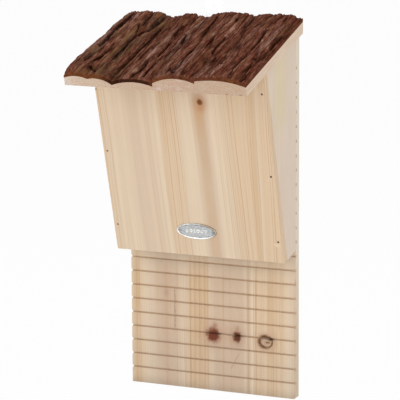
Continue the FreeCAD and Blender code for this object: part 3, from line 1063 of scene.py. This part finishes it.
def sheet_over(slab):
    """A thin closed sheet on a slab, whose points carry their place on the roof."""
    wood, corners = under_rays(slab)
    with_nails = under_rays(slab, "roof_nails")[0]
    left, right = min(c.x for c in corners), max(c.x for c in corners)
    xs = np.linspace(left, right, round((right - left) / grid_across) + 1)
    vs = np.linspace(-roof_length, 0, round(roof_length / grid_along) + 1)
    wood_heights = heights_of(wood, xs, vs)
    under = heights_of(with_nails, xs, vs)
    under = np.where(under > wood_heights + nail_clearance, under + nail_clearance, wood_heights)
    across = np.tile(xs, (len(vs), 1))
    share = np.tile((vs / roof_length + 1)[:, None], (1, len(xs)))
    points, places = [], []
    for heights in (wood_heights + bark_base, under):
        along = -roof_length + share * (roof_length + heights * math.tan(lean))
        points.append(to_upright(across, along, heights))
        places.append(np.stack([across, along, heights], -1).reshape(-1, 3))
    count = across.size
    index = np.arange(count).reshape(across.shape)
    quads = np.stack([index[:-1, :-1], index[:-1, 1:], index[1:, 1:], index[1:, :-1]], -1)
    quads = quads.reshape(-1, 4)
    rim = np.concatenate([index[0, :-1], index[:-1, -1], index[-1, :0:-1], index[:0:-1, 0]])
    next_rim = np.roll(rim, -1)
    walls = np.stack([rim + count, next_rim + count, next_rim, rim], -1)
    faces = np.concatenate([quads, quads[:, ::-1] + count, walls])
    mesh = bpy.data.meshes.new(slab + "_sheet")
    mesh.from_pydata(np.concatenate(points).tolist(), [], faces.tolist())
    carry(mesh, "roof_place", np.concatenate(places))
    carry(mesh, "lift", np.repeat([1.0, 0.0], count))
    carry(mesh, "wood_height", np.tile(wood_heights.ravel(), 2))
    carry(mesh, "weather", np.tile(weather_at(across, along).ravel(), 2))
    return mesh, left, right


print("the sheet lies", bark_base, "mm above the wood before the recipe raises it")

# %% [markdown]
# ### Plates, flakes and cracks
# The construction model already has the main plates of the bark, with the cracks between
# them. The recipe drops a ray from every point of the sheet onto that solid, and lets the
# rays wander a little, so that the straight facets get ragged rims. On top of that come
# narrow plates from a Voronoi pattern stretched down the slope, terraced flakes and fine
# strands. The narrowest cracks are drawn as lines of (x, v) on the roof, and the
# distance to the nearest line carves them.

# %% Draw the narrow cracks
fine_cracks = [
    (0.0, [(-88, -1), (-88, -20), (-88.5, -45), (-88, -60), (-86.5, -72), (-87, -92)]),
    (0.4, [(-83.5, -95), (-84, -110), (-86, -128)]),
    (0.1, [(-67, 0), (-66, -12), (-65.5, -32)]),
    (0.4, [(-70, -30), (-66, -42), (-62, -60)]),
    (0.2, [(-54, -16), (-54.5, -34), (-55, -42), (-59, -48), (-60, -55)]),
    (0.3, [(-62, -57), (-62.5, -75), (-61, -90), (-61, -105), (-60.5, -116)]),
    (0.3, [(-46.5, -28), (-46.3, -60), (-46.6, -95), (-46.9, -130), (-47, -156)]),
    (0.3, [(-73.5, -103), (-74, -113), (-77, -124)]),
    (0.1, [(-76, -137), (-71, -145), (-65, -149)]),
    (0.6, [(-52, -2), (-52.5, -18)]),
    (0.1, [(-30.5, -71), (-32, -86), (-35, -90), (-35.5, -100), (-33.5, -112)]),
    (0.2, [(-37.5, -114), (-39, -126), (-40, -140), (-43, -154)]),
    (0.5, [(-21.5, -28), (-22, -40), (-21, -52)]),
    (0.4, [(-19, -70), (-18, -82), (-18.5, -103)]),
    (0.2, [(-24.5, -112), (-22, -126), (-23, -136), (-25.5, -145), (-26, -155)]),
    (0.4, [(-17, -6), (-16.5, -22)]),
    (0.0, [(-11.5, -44), (-9, -56), (-7.5, -67)]),
    (0.1, [(-14, -116), (-15, -130), (-14, -148)]),
    (0.5, [(-10.5, -80), (-10.5, -95)]),
    (0.5, [(-3, -86), (-3.5, -104), (-2.5, -130), (-4, -146)]),
    (0.4, [(8.5, -8), (9.5, -22), (11, -45), (12, -60)]),
    (0.5, [(17, -68), (17.5, -90), (17, -110), (19, -134)]),
    (0.4, [(31, -10), (32.5, -18)]),
    (0.5, [(26.5, -58), (27, -80)]),
    (0.2, [(36.8, -58), (37.2, -84), (38.5, -96)]),
    (0.5, [(46, -2), (48, -14), (47.5, -24), (45, -30)]),
    (0.75, [(51, -40), (54, -58), (56, -74), (58, -96)]),
    (0.4, [(46.5, -106), (48, -118)]),
    (0.4, [(57, -104), (59, -118), (60, -126)]),
    (0.3, [(74, -38), (75.5, -52), (76, -70), (76.5, -84)]),
    (0.65, [(76.5, -84), (75.5, -112), (76, -136)]),
    (0.5, [(77, -140), (78, -155)]),
    (0.4, [(91.8, -44), (92, -62), (92.3, -77)]),
    (0.7, [(87, -112), (88, -126), (87, -137)]),
    (0.4, [(92, -130), (91.5, -154)]),
    (0.6, [(83, -4), (83, -14)]),
    (0.6, [(85.5, -104), (88, -106)]),
    (0.4, [(11, -138), (14, -146), (20, -150)]),
]


faint_lift = 1.6


def drawn_lines(name, lines):
    """Lines of (x, v) points as a mesh of bare edges, in millimetres. A faint line hangs
    above the plane of the others, so that no point of the bark comes quite near it."""
    points, edges = [], []
    for faint, line in lines:
        edges += [(len(points) + i, len(points) + i + 1) for i in range(len(line) - 1)]
        points += [(x, v, faint * faint_lift) for x, v in line]
    mesh = bpy.data.meshes.new(name)
    mesh.from_pydata(points, edges, [])
    return bpy.data.objects.new(name, mesh)


crack_lines = drawn_lines("crack_lines", fine_cracks)
print(len(fine_cracks), "narrow cracks drawn")

# %% Let the recipe for bark follow the solid
bark_recipe = Recipe("Bark over a slab", [
    "Left", "Right", "Length", "Wander", "Crack width", "Crack depth", "Plate width",
    "Plate length", "Plate height", "Flake height", "Strand height", "Seed",
], {"Solid": "Object", "Cracks": "Object"})
tree, size, step = bark_recipe.tree, bark_recipe.size, bark_recipe.step
roof_x, roof_v, roof_n = parts_of(bark_recipe.stored("roof_place", "FLOAT_VECTOR"))
lift, wood_n = bark_recipe.stored("lift"), bark_recipe.stored("wood_height")
seed, length = size("Seed"), size("Length")
left, right = size("Left"), size("Right")
wander = size("Wander")
wobble = (noise(roof_x / 3.4, roof_v / 9, seed + 9.0, detail=3) - 0.5) * wander

ray_gap = 0.9


def solid_height(aside):
    """How high the solid bark is under a ray that falls a little aside of the point."""
    ray_x = (roof_x + wobble + aside).at_least(left + ray_inset).at_most(right - ray_inset)
    ray_v = (roof_v + wobble * 2).at_least(ray_inset - length).at_most(-ray_inset)
    start_y = ray_v * math.cos(lean) + (board_rear - ray_start * math.sin(lean))
    start_z = ray_v * math.sin(lean) + (board_top + ray_start * math.cos(lean))
    fall = step("GeometryNodeRaycast", {
        "Target Geometry": bark_recipe.shape_of("Solid"), "Ray Length": 1.0,
        "Ray Direction": (0, math.sin(lean), -math.cos(lean)),
        "Source Position": point_of(ray_x * mm, start_y * mm, start_z * mm),
    }, "Hit Distance")
    return ray_start - fall / mm


def cells(place, output, feature="F1"):
    """A pattern of random cells in a plane."""
    return step("ShaderNodeTexVoronoi", {"Vector": place, "Scale": 1.0}, output,
                feature=feature, voronoi_dimensions="2D")


solid_n = solid_height(-ray_gap).at_least(solid_height(0.0)).at_least(solid_height(ray_gap))
from_front = roof_v + length
groove = (solid_n - wood_n).smooth(4.0, 2.4) * from_front.smooth(3.0, 12.0)
print("follow the solid bark:", len(tree.nodes), "nodes")

# %% Raise the plates, flakes and strands
drift = (noise(roof_x / 15, roof_v / 48, seed) - 0.5) * 9
plate_at = point_of((roof_x + drift) / size("Plate width"),
                    roof_v / size("Plate length") + seed * 7.3, 0.0)
from_rim = cells(plate_at, "Distance", feature="DISTANCE_TO_EDGE")
plate = parts_of(cells(plate_at, "Color"))[0]
ragged = (noise(roof_x / 1.4, roof_v / 5, seed + 3.0, detail=3) - 0.5) * 0.14
on_plate = (from_rim + ragged).smooth(0.0, 0.13)
scale_at = point_of((roof_x + drift) / 4.5, roof_v / 26 + seed, 0.0)
scale = parts_of(cells(scale_at, "Color"))[0]

to_crack = step("GeometryNodeProximity", {
    "Geometry": bark_recipe.shape_of("Cracks"),
    "Sample Position": point_of(roof_x + wobble, roof_v, 0.0),
}, "Distance", target_element="EDGES")
crack = to_crack.smooth(size("Crack width"), 0.3)

strands = noise((roof_x + drift) / 1.5, roof_v / 20, seed + 5.0, detail=5, roughness=0.65)
flaking = noise((roof_x + drift) / 6, roof_v / 32, seed + 1.0, detail=3) * 8
flake = (flaking.math("FLOOR") + flaking.math("FRACT").smooth(0.7, 1.0)) / 8

detail = (on_plate * (plate * 0.6 + 0.4) - 0.55) * size("Plate height")
detail = detail + (flake - 0.5) * size("Flake height") + (scale - 0.5) * 0.6
detail = detail + (strands - 0.5) * size("Strand height")
detail = detail - crack * size("Crack depth") - groove * 0.6
detail = detail * from_front.smooth(0.5, 6.0) - from_front.smooth(2.0, 0.0) * 0.1
top_n = (solid_n + detail).at_least(wood_n + 1.1)

raised = (top_n - roof_n) * lift * mm
offset = point_of(0.0, raised * -math.sin(lean), raised * math.cos(lean))
sheet = step("GeometryNodeSetPosition", {
    "Geometry": Wire(tree, bark_recipe.entry.outputs["Geometry"]), "Offset": offset,
})
sheet = bark_recipe.store(sheet, "relief", detail)
sheet = bark_recipe.store(sheet, "plate", plate)
# This marks the cracks, the rims of the plates and the grooves; the finish paints them near-black,
# partly the bark's own colour and partly painted shade.
open_crack = (1 - on_plate) * 0.3 + crack * 0.9 + groove * 0.4
sheet = bark_recipe.store(sheet, "crevice", open_crack.at_most(1.0))
bark_recipe.end(sheet)
print("bark recipe:", len(tree.nodes), "nodes")

# %% [markdown]
# ### The colours of the bark
# Young plates are russet, old ones go grey-brown, and the floor of a crack is almost black
# and the low places are darker: partly the bark's own colour, partly painted shade. The
# recipe leaves its relief, the number of the plate and the depth of the cracks on the mesh,
# so the finish can follow the shape exactly. Where the saw cut through the bark, at its
# front end and along the sides, it shows its orange-brown inside.

# %% Bark finish
soot = tint(48, 19, 10)
umber = tint(81, 43, 30)
russet = tint(119, 71, 53)
tan = tint(168, 126, 109)
ash = tint(156, 130, 118)
ochre = tint(152, 114, 74)
blood = tint(100, 40, 30)
moss_grey = tint(90, 80, 60)
crack_black_and_painted_shade = tint(38, 13, 3)
cut_orange = tint(116, 66, 36)
cut_red = tint(100, 54, 34)
cut_brown = tint(40, 16, 6)
bark_finish, shader, tree = new_finish("bark", roughness=0.95, shine=0.04)
x, v, n = board_place(tree, lean)
plate, relief, crevice, weather = (
    carried(tree, label) for label in ("plate", "relief", "crevice", "weather")
)
grit = noise(x / 0.75, v / 2.4, n / 0.9, detail=3)
mottle = noise(x / 1.8, v / 15, n / 3, detail=4, roughness=0.7).smooth(0.3, 0.7)
fibres = noise(x / 1.3, v / 16, 7.0, detail=3).smooth(0.35, 0.65)
# Lower relief gives a darker tone: partly the bark's own colour, partly painted shade.
shade = relief * 0.16 + mottle * 0.4 + fibres * 0.16 + grit * 0.46 + weather * 0.32 - 0.03
golden = noise(x / 8, v / 40, 12.0, detail=2).smooth(0.5, 0.68)
golden = golden * (x.smooth(-30, -70) * 0.3 + 0.15)
mossy = bell(x + 58, 10) * noise(x / 8, v / 30, 31.0).smooth(0.35, 0.6)
sore = noise(x / 6, v / 13, 21.0, detail=3).smooth(0.52, 0.68)
from_front = v + roof_length
worn_front = from_front.smooth(6.0, 1.5) * mottle * x.smooth(-20, -60, 0.3, 0.8)
cut_tones = [
    (-97, cut_orange), (-62, cut_orange), (-46, cut_brown), (-8, cut_brown), (2, cut_orange),
    (24, cut_red), (70, cut_red), (84, cut_orange), (97, cut_red),
]
cut_patches = noise(x / 4, n / 1.6, 17.0, detail=3).smooth(0.45, 0.65)
cut = blend(cut_patches * 0.6, tone_at(x, cut_tones), cut_brown)
colour = layered(ramp(shade, [(0.05, soot), (0.32, umber), (0.55, russet), (0.85, tan)]), [
    (plate.smooth(0.6, 1.0) * mottle * 0.4, ash), (golden, ochre),
    (mossy * mottle * 0.8, moss_grey), (sore * x.smooth(-60, 20) * 0.6, blood),
    # The near-black of the cracks: partly the bark's own colour, partly painted shade.
    (crevice * 0.92, crack_black_and_painted_shade), (worn_front, cut_orange),
    (from_front.smooth(1.8, 0.3) * 0.85, cut),
    (x.math("ABSOLUTE").smooth(96.4, 96.9) * 0.8, cut_red),
])
plug(shader.inputs["Base Color"], colour)
raise_grain(shader, grit, 0.5, strength=0.8)
print("bark finish:", len(tree.nodes), "nodes")

# %% Grow the bark on the four slabs
for number in range(1, 5):
    solid = "roof_bark_" + str(number)
    sheet_mesh, slab_left, slab_right = sheet_over("roof_slab_" + str(number))
    bark = bark_recipe.run(
        "bark_sheet_" + str(number), sheet_mesh, solid=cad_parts[solid],
        left=slab_left, right=slab_right, length=roof_length, wander=3.0,
        cracks=crack_lines, crack_width=1.9, crack_depth=1.6,
        plate_width=8.0, plate_length=90.0, plate_height=0.9,
        flake_height=2.0, strand_height=2.4, seed=3.0 + number, finish=bark_finish,
    )
    fit(bark, "bark", solid)
bpy.data.objects.remove(crack_lines)
print("bark grown on", number, "slabs")

# %% [markdown]
# ## The badge
# The badge is pressed from thin tin: the edge is rolled into a rim, the field inside is
# slightly domed, and a plain ornament, a wavy line with a bead in each bend, is pressed
# into it. Rings of points from the rim to the middle give the form, and each point's
# height is a sum of these parts. The mesh also carries how bright each point is, as painted
# highlight and shade, and a painted warm reflection at the right end of the rim.

# %% Measure the plate of the badge
badge_low, badge_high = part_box("badge_plate")
print("plate of the badge from", tuple(badge_low), "to", tuple(badge_high))
badge_corners = [unslant @ (vertex.co / mm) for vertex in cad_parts["badge_plate"].data.vertices]
badge_foot, badge_head = min(c.z for c in badge_corners), max(c.z for c in badge_corners)
badge_half = (max(c.x for c in badge_corners), (badge_head - badge_foot) / 2)
badge_middle = (badge_head + badge_foot) / 2
badge_seat = max(c.y for c in badge_corners)
rim_profile = [(0.0, 0.0), (0.0, 0.55), (0.12, 0.95), (0.35, 1.25), (0.7, 1.38), (1.05, 1.25),
               (1.3, 0.95), (1.5, 0.68), (1.75, 0.6)]
rim_width = rim_profile[-1][0]
floor_height, dome_height = 0.6, 0.25
wave_reach, wave_length, wave_swing = 13.0, 8.0, 1.4
steps_round, steps_in = 288, 56
print("half sizes", [round(half, 2) for half in badge_half], "mm, seat at", round(badge_seat, 2), "mm")

# %% Draw the ornament and the painted light


def ornament(x, z):
    """How high the wavy line and its beads stand at a place on the field."""
    fade = np.clip((wave_reach - np.abs(x)) / 1.5, 0, 1)
    turn = math.tau * x / wave_length
    slope = wave_swing * math.tau / wave_length * np.cos(turn)
    from_wave = np.abs(z - wave_swing * np.sin(turn)) / np.sqrt(1 + slope ** 2)
    line = 0.4 * np.exp(-(from_wave / 0.6) ** 2) * fade
    bend = np.round((x / wave_length - 0.25) * 2) / 2 + 0.25
    bead_x = bend * wave_length
    bead_z = wave_swing * np.sin(math.tau * bend) * -0.75
    from_bead = np.hypot(x - bead_x, z - bead_z)
    beads = 0.6 * np.sqrt(np.clip(1 - (from_bead / 0.95) ** 2, 0, 1)) * (np.abs(bead_x) < wave_reach)
    return np.maximum(line, beads)


def tone_of(xs, zs, inside, heights):
    """How bright the tin is, from 0 to 1: a painted highlight on the pressing and on the rim,
    most of all at the lower left, and a painted shadow in the gutter at the foot of the rim."""
    across, up = badge_half
    raised = np.clip((heights - floor_height - dome_height) / 0.5, 0, 1)
    on_rim = np.clip((inside - 1.0) / 0.05, 0, 1)
    painted_gutter_shadow = np.exp(-((inside - 0.96) / 0.05) ** 2)
    painted_lower_left_highlight = np.clip(0.5 - (xs / across + zs / up) / 2, 0, 1)
    # Painted highlight on the raised pressing and painted shadow in the gutter, over the tin's own
    # grey.
    field = 0.54 + 0.24 * raised - 0.28 * painted_gutter_shadow
    # Painted highlight on the rim, strongest at its lower left.
    return field * (1 - on_rim) + (0.6 + 0.32 * painted_lower_left_highlight) * on_rim


def warmth_of(xs, zs, inside):
    """Where the rim carries a painted warm reflection of the wood: at its right end, from 0 to 1."""
    across, up = badge_half
    on_rim = np.clip((inside - 1.0) / 0.05, 0, 1)
    return on_rim * np.clip((xs / across + zs / up * 0.4 - 0.35) / 0.5, 0, 1)


print("waves", wave_length, "mm long, between", -wave_reach, "and", wave_reach, "mm")

# %% Press the badge


def press_badge():
    turn = np.arange(steps_round) * math.tau / steps_round
    across, up = badge_half
    rings = [(across - w, up - w, height) for w, height in rim_profile]
    rings += [((across - rim_width) * r, (up - rim_width) * r, floor_height)
              for r in np.linspace(1, 0, steps_in)[1:]]
    rings = np.array(rings)
    xs = rings[:, :1] * np.cos(turn)
    zs = rings[:, 1:2] * np.sin(turn)
    inside = np.hypot(xs / (across - rim_width), zs / (up - rim_width))
    on_field = inside < 1
    heights = rings[:, 2:] + on_field * (dome_height * (1 - inside ** 2) + ornament(xs, zs))
    v = badge_seat - heights
    points = to_upright(xs[:-1], v[:-1], zs[:-1] + badge_middle)
    middle = to_upright(xs[-1:, 0], v[-1:, 0], zs[-1:, 0] + badge_middle)
    rows = len(xs) - 1
    index = np.arange(rows * steps_round).reshape(rows, steps_round)
    beside = np.roll(index, -1, axis=1)
    faces = np.stack([index[:-1], beside[:-1], beside[1:], index[1:]], -1).reshape(-1, 4).tolist()
    faces += [[a, b, rows * steps_round] for a, b in zip(index[-1], beside[-1])]
    faces.append(index[0][::-1].tolist())
    mesh = bpy.data.meshes.new("pressed_badge")
    mesh.from_pydata(np.concatenate([points, middle]).tolist(), [], faces)
    looks = {"tone": tone_of(xs, zs, inside, heights), "warmth": warmth_of(xs, zs, inside)}
    for label, values in looks.items():
        carry(mesh, label, np.append(values[:-1].ravel(), values[-1, 0]))
    for face in mesh.polygons:
        face.use_smooth = len(face.vertices) < 5
    mesh.materials.append(badge_tin)
    return add_object("pressed_badge", mesh)


badge = press_badge()
fit(badge, "badge_tin", "badge_plate")
print("badge", [round(2 * half, 1) for half in badge_half], "mm,", len(badge.data.polygons), "faces")

# %% [markdown]
# ## Floor, light and background
# The box hangs, so the pale floor lies well below it and its shadow falls out of the
# picture. Three large soft lamps stand in front of the box, one to the left, one to the
# right and one low down, and the sky is a plain grey-white. For the camera's own rays,
# and for what metal mirrors, sky and floor are white.

# %% Lay the floor
floor_drop = 0.3
floor_half = 6.0
sky_strength = 0.785
white_for_camera = 1.2
floor_mesh = bpy.data.meshes.new("floor")
shaper = bmesh.new()
bmesh.ops.create_grid(shaper, x_segments=8, y_segments=8, size=floor_half)
shaper.to_mesh(floor_mesh)
shaper.free()
floor = add_object("floor", floor_mesh)
floor.location.z = board_bottom * mm - floor_drop
print("floor", floor_drop, "m below the board")

# %% Keep the background white for the camera


def seen_directly(tree):
    """1 for rays from the camera and for what mirrors and glass show, otherwise 0."""
    path = tree.nodes.new("ShaderNodeLightPath")
    camera_ray = Wire(tree, path.outputs["Is Camera Ray"])
    glossy_ray = Wire(tree, path.outputs["Is Glossy Ray"])
    through_ray = Wire(tree, path.outputs["Is Transmission Ray"])
    return camera_ray.at_least(glossy_ray).at_least(through_ray)


floor_finish, floor_shader, tree = new_finish("floor", roughness=0.9, shine=0.1)
floor_shader.inputs["Base Color"].default_value = (0.8, 0.8, 0.8, 1)
glow = wire_from(tree, "ShaderNodeEmission", {"Strength": white_for_camera})
both = wire_from(tree, "ShaderNodeMixShader", {"Fac": seen_directly(tree) * 0.6})
mixer = both.socket.node
plug(mixer.inputs[1], Wire(tree, floor_shader.outputs[0]))
plug(mixer.inputs[2], glow)
plug(tree.nodes["Material Output"].inputs["Surface"], both)
floor_mesh.materials.append(floor_finish)

sky = bpy.data.worlds.new("sky")
sky.use_nodes = True
tree = sky.node_tree
backdrop = tree.nodes["Background"]
backdrop.inputs["Color"].default_value = (1, 1, 1, 1)
strength = seen_directly(tree) * (white_for_camera - sky_strength) + sky_strength
plug(backdrop.inputs["Strength"], strength)
bpy.context.scene.world = sky
print("sky strength", sky_strength, "and", white_for_camera, "for the camera")

# %% Hang the lamps


def soft_lamp(name, place, watts, width):
    """A square soft box that faces the middle of the bat box."""
    lamp = add_object(name, bpy.data.lights.new(name, "AREA"))
    lamp.data.energy = watts
    lamp.data.size = width
    lamp.location = place
    lamp.rotation_euler = (Vector(place) - aim).to_track_quat("Z", "Y").to_euler()


soft_lamp("key", (-1.2, -2.2, 0.6), 11.0, 1.6)
soft_lamp("fill", (2.2, -1.6, 0.0), 13.0, 1.6)
soft_lamp("low_fill", (0.6, -2.4, -0.7), 8.0, 1.6)
bpy.context.scene.view_settings.view_transform = "Standard"
print("soft lamps:", len(bpy.data.lights))
